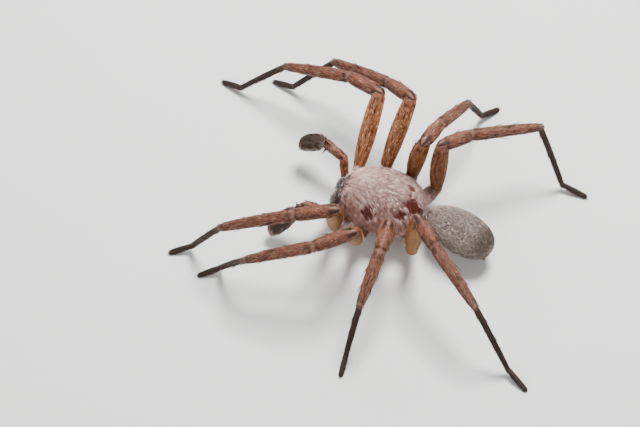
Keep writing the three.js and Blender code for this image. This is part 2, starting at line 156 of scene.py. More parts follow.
# %% Finishes
class Finish:
    """A material being built. Constants go straight on the shader, node() adds any node, and
    set() links what varies to the shader and gives the material back."""

    def __init__(self, name, **constants):
        self.material = bpy.data.materials.new(name)
        self.material.use_nodes = True
        self.tree = self.material.node_tree
        self.shader = self.tree.nodes["Principled BSDF"]
        for socket_name, value in constants.items():
            self.shader.inputs[socket_name.replace("_", " ")].default_value = value

    def node(self, kind, settings, **values):
        """One node of a kind, its settings first, then its inputs by name."""
        made = self.tree.nodes.new("ShaderNode" + kind)
        stops = settings.pop("stops", None)
        for key, value in settings.items():
            setattr(made, key, value)
        if stops:
            ramp = made.color_ramp
            while len(ramp.elements) < len(stops):
                ramp.elements.new(0.5)
            for element, (place, colour) in zip(ramp.elements, stops):
                element.position = place
                element.color = (*colour, 1.0)
        for key, value in values.items():
            place = next(s for s in made.inputs if s.enabled and s.name == key.replace("_", " "))
            connect(self.tree, value, place)
        shown = [s for s in made.outputs if s.enabled]
        return [Wire(self.tree, s) for s in shown]

    def attribute(self, name):
        """A number stored at the points of the mesh, from the node's third output."""
        return self.node("Attribute", {"attribute_name": name})[2]

    def noise(self, scale, detail=3.0, roughness=0.5):
        """Soft random spots, scale of them to a metre of Object coordinates."""
        place = self.node("TexCoord", {})[3]
        return self.node("TexNoise", {}, Vector=place, Scale=scale, Detail=detail,
                         Roughness=roughness)[0]

    def lengthways(self, scale):
        """Streaks along a limb: noise over its attributes around_x, around_y and down, in which
        the length counts for less than the way round."""
        parts = [self.attribute(key) for key in ("around_x", "around_y", "down")]
        place = self.node("CombineXYZ", {}, X=parts[0], Y=parts[1], Z=parts[2])[0]
        return self.node("TexNoise", {}, Vector=place, Scale=scale, Detail=3.0)[0]

    def mix(self, factor, first, second):
        return self.node("Mix", {"data_type": "RGBA"}, Factor=factor, A=first, B=second)[0]

    def shade(self, colour, factor):
        """A colour made darker or lighter by a factor that varies."""
        tint = self.node("CombineColor", {}, Red=factor, Green=factor, Blue=factor)[0]
        settings = {"data_type": "RGBA", "blend_type": "MULTIPLY"}
        return self.node("Mix", settings, Factor=1.0, A=colour, B=tint)[0]

    def ramp(self, factor, stops):
        return self.node("ValToRGB", {"stops": stops}, Fac=factor)[0]

    def bump(self, height, strength, distance):
        return self.node("Bump", {}, Height=height, Strength=strength, Distance=distance)[0]

    def set(self, **wires):
        for key, value in wires.items():
            connect(self.tree, value, self.shader.inputs[key.replace("_", " ")])
        return self.material


print("a finish has", [name for name in vars(Finish) if not name.startswith("_")])

# %% [markdown]
# ## Surfaces and strands
# Every body part here is a closed surface given by two numbers: u runs once round it and v runs
# from one end to the other. A grid of u and v gives the points all at once. The same function
# then says where a hair is rooted and which way the surface faces there.
# Hairs and spines are strands: thin closed cones that bend. Real hair curves would be lost when a
# model is exported, so each hair is a small solid of ten triangles.

# %% Meshes from arrays
def metres(points):
    """Body millimetres to model metres: take away the outline's middle, then scale."""
    return (points - OUTLINE_MIDDLE) * MM


def unit(vectors):
    """Each vector over its own length."""
    return vectors / np.maximum(np.linalg.norm(vectors, axis=-1, keepdims=True), 1e-9)


def facing_out(points, triangles):
    """Turns all triangles round where the volume they enclose comes out negative."""
    a, b, c = (points[triangles[:, i]] for i in range(3))
    volume = np.einsum("ij,ij->i", a, np.cross(b, c)).sum()
    return triangles if volume > 0 else triangles[:, ::-1]


def make_piece(name, points, triangles, material, attributes=None, uv=None, replaces=()):
    """One Blender object from arrays, riding on the spider's one body."""
    mesh = bpy.data.meshes.new(name)
    mesh.vertices.add(len(points))
    mesh.vertices.foreach_set("co", metres(points).astype(np.float32).ravel())
    mesh.loops.add(triangles.size)
    mesh.loops.foreach_set("vertex_index", triangles.astype(np.int32).ravel())
    mesh.polygons.add(len(triangles))
    mesh.polygons.foreach_set("loop_start", np.arange(len(triangles), dtype=np.int32) * 3)
    mesh.polygons.foreach_set("use_smooth", np.ones(len(triangles), dtype=bool))
    mesh.update(calc_edges=True)
    for key, values in (attributes or {}).items():
        layer = mesh.attributes.new(key, "FLOAT", "POINT")
        layer.data.foreach_set("value", np.asarray(values, dtype=np.float32))
    if uv is not None:
        layer = mesh.uv_layers.new(name="OFBake")
        layer.data.foreach_set("uv", uv[triangles.ravel()].astype(np.float32).ravel())
    mesh.materials.append(material)
    piece = bpy.data.objects.new(name, mesh)
    bpy.context.scene.collection.objects.link(piece)
    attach(piece, "root")
    if replaces:
        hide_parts(*replaces)


def joined(parts):
    """Several (points, triangles, attributes) made one, with the indices shifted along."""
    counts = np.cumsum([0] + [len(points) for points, _, _ in parts])
    points = np.vstack([points for points, _, _ in parts])
    triangles = np.vstack([tri + counts[i] for i, (_, tri, _) in enumerate(parts)])
    keys = parts[0][2].keys()
    attributes = {key: np.concatenate([attr[key] for _, _, attr in parts]) for key in keys}
    return points, triangles, attributes


print("the outline's middle:", OUTLINE_MIDDLE, "mm")

# %% Closed surfaces
def closed_surface(surface, around, along):
    """Points of surface(u, v) on rings of equal v, with one point at each pole.
    Two triangles fill each cell, and a fan closes each end."""
    u = np.arange(around) / around
    v = np.arange(1, along) / along
    grid_u, grid_v = np.meshgrid(u, v)
    flat_u = np.concatenate([[0.0], grid_u.ravel(), [0.0]])
    flat_v = np.concatenate([[0.0], grid_v.ravel(), [1.0]])
    points = surface(flat_u, flat_v)
    here = np.arange(around)
    after = (here + 1) % around
    row = 1 + around * np.arange(along - 2)[:, None]
    a, b = row + here, row + after
    c, d = b + around, a + around
    cells = np.stack([a, b, c, a, c, d], axis=-1).reshape(-1, 3)
    first = np.stack([np.zeros_like(here), 1 + after, 1 + here], axis=-1)
    last_row = 1 + around * (along - 2)
    end = np.full_like(here, len(points) - 1)
    last = np.stack([end, last_row + here, last_row + after], axis=-1)
    triangles = facing_out(points, np.vstack([cells, first, last]))
    return points, triangles, flat_u, flat_v


def add_skin(name, parts, material, slot, *replaces):
    """Closed surfaces as one piece, none of it below the floor. Each part is a surface, its steps
    round and along, and where the finish reads attributes a function of u, v that gives them."""
    meshes = []
    for surface, around, along, *marks in parts:
        points, triangles, u, v = closed_surface(surface, around, along)
        points[:, 2] = np.maximum(points[:, 2], 0.0)
        meshes.append((points, triangles, marks[0](u, v) if marks else {}))
    points, triangles, attributes = joined(meshes)
    make_piece(name, points, triangles, material, attributes, replaces=replaces)


def surface_frame(surface, u, v):
    """Points, outward normals and area weights, from small steps in u and v."""
    step = 0.002
    points = surface(u, v)
    round_step = surface(u + step, v) - surface(u - step, v)
    long_step = surface(u, np.minimum(v + step, 1)) - surface(u, np.maximum(v - step, 0))
    cross = np.cross(long_step, round_step)
    return points, unit(cross), np.linalg.norm(cross, axis=-1)


def ball(centre, radius):
    """A sphere with its poles fore and aft: the rings have the sine of pi v as their radius."""
    def surface(u, v):
        ring = np.sin(np.pi * v)
        shape = np.stack([ring * np.cos(2 * np.pi * u), -np.cos(np.pi * v),
                          ring * np.sin(2 * np.pi * u)], axis=-1)
        return centre + radius * shape
    return surface


test_ball = ball(np.zeros(3), 1.0)
print("triangles of a ball:", len(closed_surface(test_ball, 32, 20)[1]))

# %% Strands
def strands(roots, heading, normals, lengths, widths, sides=3, rings=2, curl=0.0, pull=None,
            flat=0.6):
    """Thin closed cones. The middle line at s from 0 to 1 is root + length * s * heading, minus
    length * curl * s squared along the normal, plus s squared of pull. Each ring is an ellipse
    across the heading, and its width falls as one minus s to the power 1.5."""
    count = len(roots)
    s = np.append(np.arange(rings) / rings, 1.0)[None, :, None]
    long = lengths[:, None, None]
    middle = roots[:, None] + long * s * heading[:, None]
    middle = middle - long * curl * s ** 2 * normals[:, None]
    if pull is not None:
        middle = middle + s ** 2 * pull[:, None]
    across = unit(np.cross(heading, normals))
    upward = np.cross(across, heading)
    turn = np.arange(sides) * 2 * np.pi / sides
    ring = (np.cos(turn)[None, :, None] * across[:, None]
            + flat * np.sin(turn)[None, :, None] * upward[:, None])
    size = widths[:, None, None, None] / 2 * (1 - s[:, :rings, :, None] ** 1.5)
    rims = middle[:, :rings, None] + size * ring[:, None]
    points = np.concatenate([rims.reshape(count, -1, 3), middle[:, -1:]], axis=1)
    each = sides * rings + 1
    k = np.arange(sides)
    n = (k + 1) % sides
    cells = [np.stack([np.zeros(sides - 2, int), k[2:], k[1:-1]], axis=-1)]
    for level in range(rings - 1):
        low, high = level * sides, (level + 1) * sides
        cells.append(np.stack([low + k, low + n, high + n], axis=-1))
        cells.append(np.stack([low + k, high + n, high + k], axis=-1))
    top = (rings - 1) * sides
    cells.append(np.stack([top + k, top + n, np.full(sides, each - 1)], axis=-1))
    pattern = np.vstack(cells)
    triangles = (pattern[None] + each * np.arange(count)[:, None, None]).reshape(-1, 3)
    reach = np.append(np.repeat(np.arange(rings) / rings, sides), 1.0)
    spread = np.append(np.tile(k / sides, rings), 0.5)
    return points.reshape(-1, 3), facing_out(points.reshape(-1, 3), triangles), each, reach, spread


one = strands(np.zeros((1, 3)), np.eye(3)[:1], np.eye(3)[2:], np.ones(1), np.ones(1))
print("a strand:", one[2], "points and", len(one[1]), "triangles")

# %% [markdown]
# ## Growing a coat
# Roots have to be spread evenly over a curved surface. Points drawn at random over the u, v square
# are kept in proportion to the true area of the surface there, which evens them out.
# Fur in the photograph lies in small locks with dark gaps between them, so each strand's tip is
# drawn part of the way toward the tip of the nearest lock.

# %% Even roots
EDGE, INSIDE = 0.004, 0.992    # the margin of the u, v square, and what is left within it


def even_roots(surface, wanted, seed, allowed=None):
    """Evenly spread u, v. A random point is kept where a second draw falls below its share of the
    largest area step, and a third one below allowed(points, normals)."""
    draw = np.random.default_rng(seed)
    u, v, share, chance = draw.uniform(0, 1, (4, wanted * 8))
    v = EDGE + INSIDE * v
    points, normals, area = surface_frame(surface, u, v)
    keep = share < area / np.quantile(area, 0.98)
    if allowed is not None:
        keep &= chance < allowed(points, normals)
    chosen = np.flatnonzero(keep)[:wanted]
    return u[chosen], v[chosen], points[chosen], normals[chosen]


def nearest(points, centres):
    """Index of the nearest centre for each point, a few hundred points at a time."""
    found = [np.argmin(((chunk[:, None] - centres[None]) ** 2).sum(-1), axis=1)
             for chunk in np.array_split(points, max(1, len(points) // 400))]
    return np.concatenate(found)


print("roots on a ball:", len(even_roots(test_ball, 100, seed=1)[0]))

# %% Coats
def steady(direction):
    """A flow that is the same at every point."""
    return lambda points: np.tile(np.asarray(direction, float), (len(points), 1))


def coat(surface, wanted, seed, flow, length, width, lean, allowed=None, locks=0, lock_pull=0.5,
         curl=0.12, wobble=0.25, sink=0.04):
    """Strands over a surface that lie along flow(points): each heading is the flow without its
    part along the normal, lifted by about lean radians and turned aside by up to about wobble.
    Returns their mesh arrays with the attributes tone and reach, the roots' u and v, and the
    index of the strand for each point."""
    draw = np.random.default_rng(seed)
    u, v, points, normals = even_roots(surface, wanted, seed, allowed)
    count = len(points)

    def headings(at, out, lift):
        along = flow(at)
        along = unit(along - (along * out).sum(-1, keepdims=True) * out)
        return unit(along * np.cos(lift) + out * np.sin(lift))

    lift = lean * draw.uniform(0.6, 1.4, (count, 1))
    heading = headings(points, normals, lift)
    sideways = np.cross(heading, normals)
    heading = unit(heading + sideways * draw.normal(0, wobble, (count, 1)))
    lengths = length * draw.uniform(0.7, 1.25, count)
    widths = width * draw.uniform(0.75, 1.3, count)
    pull = None
    tone = draw.uniform(0, 1, count)
    if locks:
        _, _, centres, centre_normals = even_roots(surface, locks, seed + 5, allowed)
        lock_heading = headings(centres, centre_normals, np.full((len(centres), 1), lean * 1.3))
        mine = nearest(points, centres)
        tips = centres[mine] + lock_heading[mine] * length
        pull = lock_pull * (tips - (points + heading * lengths[:, None]))
        pull = pull * np.minimum(1, length * 0.45 / np.maximum(
            np.linalg.norm(pull, axis=-1, keepdims=True), 1e-6))
        lock_tone = draw.uniform(0, 1, len(centres))
        tone = 0.6 * tone + 0.4 * lock_tone[mine]
    roots = points - normals * sink
    made, triangles, each, reach, spread = strands(
        roots, heading, normals, lengths, widths, curl=curl, pull=pull)
    owner = np.repeat(np.arange(count), each)
    attributes = {"tone": tone[owner], "reach": np.tile(reach, count)}
    return {"points": made, "triangles": triangles, "attributes": attributes, "owner": owner,
            "u": u, "v": v, "roots": points, "normals": normals,
            "spread": np.tile(spread, count)}


print("a steady flow:", steady((0, 1, 0))(np.zeros((1, 3))))

# %% Coats as pieces
PATCH = 0.003


def add_strands(name, hairs, material):
    """A coat as one piece. Its map has a patch for each strand, PATCH across, at its root's u and
    v on the surface: the ring's share gives the width, the reach gives the length."""
    u, v = (EDGE + INSIDE * hairs[key][hairs["owner"]] for key in ("u", "v"))
    across = (hairs["spread"] - 0.5) * PATCH
    along = (hairs["attributes"]["reach"] - 0.5) * PATCH
    make_piece(name, hairs["points"], hairs["triangles"], material, hairs["attributes"],
               uv=np.stack([u + across, v + along], axis=-1))


def stacked(coats):
    """The coats with each one's v in a band of its own, so that no two share a patch."""
    for i, hairs in enumerate(coats):
        hairs["v"] = (i + hairs["v"]) / len(coats)
    return coats


def together(coats):
    """Several coats as one, for a piece that covers more than one surface."""
    parts = [(c["points"], c["triangles"], c["attributes"]) for c in coats]
    points, triangles, attributes = joined(parts)
    starts = np.cumsum([0] + [len(c["u"]) for c in coats])
    whole = {"points": points, "triangles": triangles, "attributes": attributes}
    whole["owner"] = np.concatenate([c["owner"] + starts[i] for i, c in enumerate(coats)])
    for key in ("u", "v", "roots", "normals", "spread"):
        whole[key] = np.concatenate([c[key] for c in coats])
    return whole


print("patch of a strand:", PATCH, "of the map")

# %% [markdown]
# ## Finishes
# A spider's shell is a smooth brown cuticle, and most of the colour seen from a step away is hair.
# So there are two kinds of finish: shells, which read markings from the skin's attributes, and
# hairs, which take their shade from a random tone for each strand and get lighter to the tip. Both
# could be painted on an image, but attributes that the shapes below give them need no image, and
# skin and coat always agree.

# %% Shells
GRAIN = 14000.0
GRAIN_DEPTH = 0.00002


def shell_finish(name, colour_of, roughness, shine=0.0):
    """A cuticle: colour_of(finish) gives its colour, and fine grain its bump and gloss."""
    finish = Finish(name, Coat_Weight=shine, Coat_Roughness=0.2, Specular_IOR_Level=0.35)
    grit = finish.noise(GRAIN, 4.0, 0.6)
    cloud = finish.noise(GRAIN * 0.12, 2.0)
    colour = finish.shade(colour_of(finish), 0.72 + cloud * 0.56)
    return finish.set(Base_Color=colour, Roughness=roughness + grit * 0.22,
                      Normal=finish.bump(grit, 0.5, GRAIN_DEPTH))


def clouded(scale, first, second):
    """Two colours that mix in soft spots, scale of them to a metre."""
    return lambda finish: finish.mix(finish.noise(scale), first, second)


def carapace_colour(finish):
    """Brown under the hair, deep red where it is bare, almost black on the face."""
    plain = finish.mix(finish.attribute("bare").clamped(), (0.10, 0.035, 0.03),
                       (0.055, 0.006, 0.003))
    return finish.mix(finish.attribute("face").clamped(), plain, (0.014, 0.004, 0.004))


COLLAR_COLOUR = (0.022, 0.009, 0.007)


def bands(finish):
    """Broad light and dark streaks that shell and hair of a leg share, from 0 to 1."""
    return ((finish.lengthways(7.0) - 0.38) * 3.6).clamped()


def leg_colour(finish):
    """Orange-brown femora, red-brown shins and dark feet, streaked lengthways, and ochre below."""
    down = finish.ramp(finish.attribute("zone"), [
        (0.0, (0.24, 0.068, 0.014)), (0.18, (0.21, 0.055, 0.013)), (0.22, (0.13, 0.032, 0.014)),
        (0.55, (0.11, 0.026, 0.012)), (0.62, (0.030, 0.013, 0.008)),
        (1.0, (0.016, 0.008, 0.006))])
    below = (finish.attribute("under") * 1.6 - 0.5).clamped()
    ochre = finish.mix(below, down, (0.26, 0.10, 0.012))
    thigh = finish.mix(finish.attribute("thigh"), down, ochre)
    streak = (finish.lengthways(26.0) - 0.35) * 3.0
    banded = bands(finish)
    streaked = finish.shade(thigh, 0.3 + streak.clamped() * 0.7 + banded * 0.6)
    pale = finish.mix(finish.attribute("joint") * 0.3, streaked, (0.42, 0.25, 0.19))
    return finish.mix(finish.attribute("collar"), pale, COLLAR_COLOUR)


carapace_shell = shell_finish("carapace shell", carapace_colour, 0.3)
leg_shell = shell_finish("leg shell", leg_colour, 0.5)
underside_shell = shell_finish(
    "underside shell", clouded(900.0, (0.20, 0.065, 0.03), (0.34, 0.12, 0.04)), 0.45)
abdomen_shell = shell_finish(
    "abdomen skin", clouded(700.0, (0.06, 0.042, 0.037), (0.10, 0.075, 0.065)), 0.6)
face_shell = shell_finish(
    "face shell", clouded(1200.0, (0.016, 0.004, 0.004), (0.045, 0.010, 0.008)), 0.22, 0.3)
cup_shell = shell_finish(
    "cup shell", clouded(900.0, (0.020, 0.010, 0.008), (0.06, 0.03, 0.02)), 0.5)
bulb_shell = shell_finish(
    "bulb shell", clouded(1500.0, (0.012, 0.006, 0.005), (0.13, 0.04, 0.015)), 0.15, 0.6)
print("shells:", len(bpy.data.materials))

# %% Hairs
def hair_finish(name, stops, roughness=0.55, root_shade=0.4, shine=0.3):
    """Strands: the ramp gives a colour for each strand's tone, darker at the root."""
    finish = Finish(name, Specular_IOR_Level=shine)
    colour = finish.ramp(finish.attribute("tone"), stops)
    lit = root_shade + finish.attribute("reach") * (1.15 - root_shade)
    return finish.set(Base_Color=finish.shade(colour, lit), Roughness=roughness)


carapace_hair = hair_finish("carapace hair", [
    (0.0, (0.13, 0.045, 0.038)), (0.22, (0.46, 0.225, 0.195)), (0.5, (0.88, 0.55, 0.49)),
    (1.0, (1.0, 0.82, 0.76))])
abdomen_hair = hair_finish("abdomen hair", [
    (0.0, (0.085, 0.055, 0.046)), (0.28, (0.28, 0.20, 0.175)), (0.6, (0.56, 0.43, 0.38)),
    (1.0, (0.92, 0.77, 0.69))])
dark_hair = hair_finish("dark hair", [
    (0.0, (0.010, 0.005, 0.004)), (0.75, (0.030, 0.014, 0.011)), (0.85, (0.40, 0.24, 0.21)),
    (1.0, (0.50, 0.32, 0.28))], 0.7, 0.4, 0.1)
cup_hair = hair_finish("cup hair", [
    (0.0, (0.020, 0.011, 0.009)), (0.35, (0.085, 0.052, 0.042)), (0.7, (0.24, 0.165, 0.14)),
    (0.85, (0.45, 0.36, 0.32)), (1.0, (0.90, 0.80, 0.74))], 0.6, 0.4, 0.2)
pale_hair = hair_finish("pale hair", [
    (0.0, (0.36, 0.20, 0.17)), (0.6, (0.75, 0.54, 0.48)), (1.0, (1.0, 0.88, 0.82))])
spine_black = hair_finish("spine black", [
    (0.0, (0.008, 0.005, 0.004)), (1.0, (0.022, 0.012, 0.009))], 0.28, 0.9)


def leg_hair_material():
    """Orange-pink hair on femur to tibia, brown on the metatarsus, dark on the foot."""
    finish = Finish("leg hair", Specular_IOR_Level=0.3)
    light = finish.ramp(finish.attribute("zone"), [
        (0.0, (0.92, 0.48, 0.25)), (0.19, (0.90, 0.46, 0.26)), (0.24, (0.80, 0.43, 0.29)),
        (0.57, (0.72, 0.37, 0.24)), (0.63, (0.12, 0.056, 0.032)), (0.8, (0.10, 0.045, 0.026)),
        (1.0, (0.15, 0.078, 0.050))])
    deep = finish.ramp(finish.attribute("zone"), [
        (0.0, (0.26, 0.08, 0.02)), (0.19, (0.22, 0.065, 0.02)), (0.55, (0.13, 0.038, 0.02)),
        (0.63, (0.030, 0.015, 0.010)), (1.0, (0.020, 0.012, 0.009))])
    light_here = finish.shade(light, 0.5 + bands(finish) * 0.65)
    colour = finish.mix(finish.attribute("tone"), deep, light_here)
    lit = 0.5 + finish.attribute("reach") * 0.65
    dark_joint = finish.mix(finish.attribute("collar"), finish.shade(colour, lit),
                            COLLAR_COLOUR)
    return finish.set(Base_Color=dark_joint, Roughness=0.55)


leg_hair = leg_hair_material()
eye_finish = Finish("eye", Roughness=0.05, Coat_Weight=1.0, Coat_Roughness=0.02)
eye_tint = eye_finish.mix(eye_finish.noise(2500.0), (0.004, 0.003, 0.003), (0.02, 0.010, 0.008))
eye_glass = eye_finish.set(Base_Color=eye_tint)
print("finishes:", len(bpy.data.materials))

# %% [markdown]
# ## The carapace
# The carapace is a domed shield over the front of the body. Its plan is an egg, blunt at the face.
# Half width and height both follow the sine of one angle that runs from face to hind edge, each to
# its own power, so a few numbers give the whole dome. A short groove marks the top behind the
# middle. Hair has rubbed away in a few dark red patches, so one mask keeps hair off them and
# reddens the shell below.

# %% Carapace skin
def smooth_step(low, high, value):
    """0 below low, 1 above high, and a smooth cubic between."""
    t = np.clip((value - low) / (high - low), 0, 1)
    return t * t * (3 - 2 * t)


def carapace_section(v):
    """Half width, height and place along the body for v from the face to the hind edge. Width
    and height are the sine of pi v to the powers 0.72 and 0.62, trimmed by its cosine."""
    angle = np.pi * v
    taper = np.cos(angle)
    sine = np.maximum(np.sin(angle), 0)
    width = CARAPACE["half_width"] * sine ** 0.72 * (1 - 0.07 * taper - 0.08 * taper ** 2)
    top = CARAPACE["dome"] * sine ** 0.62 * (1 + 0.1 * taper - 0.08 * taper ** 2)
    return width, top, CARAPACE["shift"] - taper * CARAPACE["length"] / 2


GROOVE = {"x": 0.15, "y": 0.9, "half_width": 0.14, "half_length": 0.95, "depth": 0.16}


def carapace(u, v):
    """An ellipse at each v, with a shallow lower half, less the coat's depth. The groove takes
    its depth times e to minus the squares of the distances across and along it."""
    width, top, y = carapace_section(v)
    inside = 1 - COAT_DEPTH / CARAPACE["half_width"]
    turn = 2 * np.pi * u
    lift = np.sin(turn)
    x = width * inside * np.cos(turn)
    z = np.where(lift > 0, top * inside, 0.14 * top) * lift
    groove = np.exp(-((x - GROOVE["x"]) / GROOVE["half_width"]) ** 2
                    - ((y - GROOVE["y"]) / GROOVE["half_length"]) ** 2)
    z = z - GROOVE["depth"] * groove * (lift > 0)
    return np.stack([x, y, CARAPACE["edge_z"] + z], axis=-1)


print("face and hind edge at y:", [round(float(carapace_section(np.array(v))[2]), 2)
                                   for v in (0.0, 1.0)])

# %% Bald patches and the dark face
# x, y, half length and half width of each patch, in millimetres
PATCHES = ((2.38, -1.0, 0.78, 0.55), (1.72, 1.9, 0.7, 0.55), (0.5, 2.8, 1.1, 0.85),
           (-0.87, 2.0, 0.5, 0.36), (-2.2, -0.9, 0.6, 0.36), (0.3, 3.4, 0.5, 0.5))


def bare(points):
    """1 inside a bald patch and 0 outside it: the distance from its middle, as a share of its
    half sizes, plus two sine waves that let the edge wander, through a smooth step."""
    x, y = points[..., 0], points[..., 1]
    ragged = 0.16 * np.sin(7 * x + 3 * y) + 0.12 * np.sin(11 * y - 5 * x)
    masks = [1 - smooth_step(0.65, 1.25, np.hypot((y - cy) / long, (x - cx) / wide) + ragged)
             for cx, cy, long, wide in PATCHES]
    return np.max(masks, axis=0)


def face(points):
    """1 on the dark front of the head, 0 behind the eyes."""
    return smooth_step(3.55, 3.95, -points[..., 1] - 0.06 * np.abs(points[..., 0]))


def carapace_marks(u, v):
    points = carapace(u, v)
    return {"bare": bare(points), "face": face(points)}


add_skin("carapace_skin", [(carapace, 96, 72, carapace_marks)], carapace_shell, "carapace_coat",
         "carapace")
print("bald patches:", len(PATCHES))

# %% Carapace coat
def carapace_flow(points):
    """Hair runs back from the eyes and turns outward toward the edge."""
    x, y = points[:, 0], points[:, 1]
    outward = (0.56 * x + 0.1 * np.tanh(4 * x)) * (1 - 0.4 * smooth_step(1.0, 3.6, y))
    return np.stack([outward, np.ones_like(x), -0.1 * np.abs(x)], axis=-1)


def carapace_allowed(points, normals):
    """Above the edge, thin on the bald patches and on the face."""
    above = smooth_step(-0.15, 0.05, points[:, 2] - CARAPACE["edge_z"])
    return above * (1 - 0.97 * smooth_step(0.1, 0.8, bare(points))) * (1 - 0.9 * face(points))


hairs = coat(carapace, 16000, 11, carapace_flow, length=0.95, width=0.055, lean=0.13,
             allowed=carapace_allowed, locks=1100, lock_pull=0.55)
add_strands("carapace_coat", hairs, carapace_hair)


def carapace_rim(points, normals):
    """Along the edge, but not on the face."""
    low = 1 - smooth_step(0.1, 0.55, np.abs(points[:, 2] - CARAPACE["edge_z"]))
    return low * smooth_step(-3.4, -2.6, points[:, 1])


def rim_flow(points):
    """Outward from the middle of the shield and back, a little down."""
    return np.stack([0.6 * points[:, 0], 0.6 * points[:, 1] + 2.2, -0.5 * np.ones(len(points))],
                    axis=-1)


rim = coat(carapace, 1300, 13, rim_flow, length=0.55, width=0.05, lean=0.14, allowed=carapace_rim,
           locks=150, lock_pull=0.4)
add_strands("carapace_rim_hair", rim, pale_hair)
print("carapace hairs:", len(hairs["u"]) + len(rim["u"]))

# %% [markdown]
# ## Limbs
# Each part of a leg is a rounded tube whose radius follows a parabola through three named radii.
# Half a ball closes each end, so that two parts meet in a knuckle, as the real joints do. Yaw and
# pitch place each part after the last one. The last two parts are pitched so that they come down
# to the floor exactly, as in the solid model.

# %% Tubes with round ends
CAP_SHARE = 0.14    # how much of v each round end takes


def part_way(v):
    """How far along the shaft of a limb a v is, from 0 to 1."""
    return np.clip((v - CAP_SHARE) / (1 - 2 * CAP_SHARE), 0, 1)


def limb(start, end, radii, depth=COAT_DEPTH, bow=0.0, caps=(0.9, 0.9), groove=0.0):
    """Surface of one segment: a tube from start to end whose radius is a parabola through the
    three radii, less depth. A half ball closes each end, caps long as a share of the radius
    there. u at a quarter is the upper side. bow lifts the middle by a sine. groove is how much
    of the radius a shallow ring near each end takes away."""
    start, end = np.asarray(start, float), np.asarray(end, float)
    length = np.linalg.norm(end - start)
    along = (end - start) / length
    side = unit(np.cross(along, [0.0, 0.0, 1.0]))
    upper = np.cross(side, along)
    near, middle, far = (radius - depth for radius in radii)
    bulge = 4 * (middle - (near + far) / 2)

    def surface(u, v):
        first = np.clip(v / CAP_SHARE, 0, 1) * np.pi / 2
        last = np.clip((1 - v) / CAP_SHARE, 0, 1) * np.pi / 2
        t = part_way(v)
        distance = length * t - near * caps[0] * np.cos(first) + far * caps[1] * np.cos(last)
        radius = near + (far - near) * t + bulge * t * (1 - t)
        from_end = np.minimum(t, 1 - t) * length
        radius = radius * (1 - groove * np.exp(-((from_end - 0.12) / 0.16) ** 2))
        radius = radius * np.sin(first) * np.sin(last)
        turn = 2 * np.pi * u
        return (start + distance[..., None] * along
                + (radius * np.cos(turn))[..., None] * side
                + (radius * np.sin(turn) + bow * np.sin(np.pi * t))[..., None] * upper)

    surface.start, surface.along, surface.upper, surface.length = start, along, upper, length
    return surface


print("halfway up v is", part_way(0.5), "of the shaft")

# %% Joints of a leg
def heading_of(yaw, pitch, side):
    """Unit vector for yaw from straight sideways, positive to the head, and pitch."""
    turn, rise = math.radians(yaw), math.radians(pitch)
    return np.array([side * math.cos(turn) * math.cos(rise), -math.sin(turn) * math.cos(rise),
                     math.sin(rise)])


def leg_joints(word, number):
    """Root, knee, two shin joints, foot joint and tip of one leg."""
    side = SIDES[word]
    femur, patella, tibia, metatarsus_yaw, tarsus_yaw = LEG_POSES[(word, number)]
    lengths = LEG_LENGTHS[number]
    x, y = LEG_ROOTS[number]
    joints = [np.array([side * x, y, LEG_ROOT_Z])]
    for (yaw, pitch), length in zip((femur, patella, tibia), lengths):
        joints.append(joints[-1] + length * heading_of(yaw, pitch, side))
    drops = ((metatarsus_yaw, FOOT_START_Z), (tarsus_yaw, FOOT_TIP_Z))
    for (yaw, floor_z), length in zip(drops, lengths[3:]):
        pitch = -math.degrees(math.asin((joints[-1][2] - floor_z) / length))
        joints.append(joints[-1] + length * heading_of(yaw, pitch, side))
    return joints


print("left leg 1 tip:", np.round(leg_joints("left", 1)[-1], 2))

# %% [markdown]
# ## The underside
# Below the carapace lie the breast plate, the eight hips that carry the legs, and two small blades
# beside the mouth that carry the palps. They could be blended into one mesh by hand, but closed
# forms that run into each other are simpler, and hair hides where they meet. They are one node in
# the solids, so they are one skin here. Pale hair grows on top of the hips, where the photograph
# shows it between the legs, and on the breast plate.

# %% Breast plate and hips
def breast(u, v):
    """A flattened egg under the carapace: half width is the sine of pi v to the power 0.7, and
    height its powers 0.5 above and 0.6 below, each times its own largest size."""
    sine = np.sin(np.pi * v)
    turn = 2 * np.pi * u
    lift = np.sin(turn)
    deep = np.where(lift > 0, 0.75 * sine ** 0.5, (LEG_ROOT_Z - STERNUM_Z - 0.05) * sine ** 0.6)
    return np.stack([2.45 * sine ** 0.7 * np.cos(turn), -3.65 * np.cos(np.pi * v),
                     LEG_ROOT_Z + deep * lift], axis=-1)


def hip(word, number):
    """Coxa and trochanter of one leg, from under the body to the leg's root."""
    x, y = LEG_ROOTS[number]
    side = SIDES[word]
    start = (side * x * 0.4, y * 0.75, LEG_ROOT_Z - 0.15)
    return limb(start, (side * x, y, LEG_ROOT_Z), RADII["coxa"], depth=0.05)


PALP_JOINTS = {
    "left": ((2.2, -4.8, 1.8), (3.0, -5.4, 3.6), (3.3, -6.4, 4.2), (3.7, -7.3, 3.4),
             (5.3, -9.4, 1.1)),
    "right": ((2.4, -4.7, 1.8), (3.1, -5.05, 3.9), (3.4, -6.15, 4.3), (4.05, -7.1, 4.05),
              (4.1, -9.6, 2.7)),
}


def palp_joints(word):
    """Root, two joints, wrist and tip of one palp."""
    return [np.array([SIDES[word] * x, y, z]) for x, y, z in PALP_JOINTS[word]]


def maxilla(word):
    """The blade beside the mouth, up to the palp's root."""
    return limb((SIDES[word] * 1.2, -3.3, 1.8), palp_joints(word)[0], (0.5, 0.46, 0.4), 0.03)


hips = [hip(word, number) for word in SIDES for number in LEG_ROOTS]
under_parts = [(breast, 48, 32), *((surface, 28, 22) for surface in hips),
               *((maxilla(word), 24, 18) for word in SIDES)]
add_skin("prosoma_underside_skin", under_parts, underside_shell, "underside_coat",
         "prosoma_underside")


print("hips:", len(hips))

